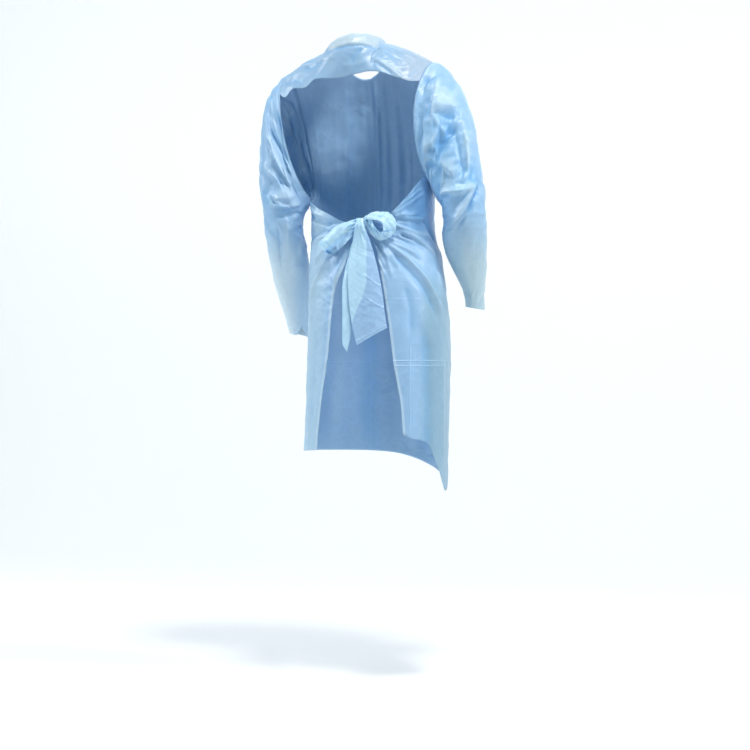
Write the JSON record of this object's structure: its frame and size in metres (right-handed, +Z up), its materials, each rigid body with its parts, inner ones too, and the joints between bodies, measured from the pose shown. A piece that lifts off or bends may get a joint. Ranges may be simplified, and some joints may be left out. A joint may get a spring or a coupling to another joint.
{
  "type": "open-back isolation gown",
  "caption": "Thin film isolation gown in its worn form: open back with a shoulder yoke, long sleeves, wrapped skirt and a wide tie bow at the back waist.",
  "frame": {"origin": "midway between the two shoulder points, level with the sides of the neck opening, where the wearer's shoulders hold the gown", "axes": "+Z up, -Y towards the wearer's front, +X towards the wearer's left"},
  "size_m": [0.5519, 0.3208, 1.0684],
  "materials": {
    "film": "thin polyethylene film with a soft sheen",
    "tie_film": "doubled polyethylene film, paler where it is folded"
  },
  "bodies": {
    "root": {"body_panel": "film", "back_yoke": "film", "sleeve_left": "film", "sleeve_right": "film", "bow_knot": "tie_film", "bow_loop_left": "tie_film", "bow_loop_right": "tie_film", "tie_tail_left": "tie_film", "tie_tail_right": "tie_film"}
  },
  "joints": []
}
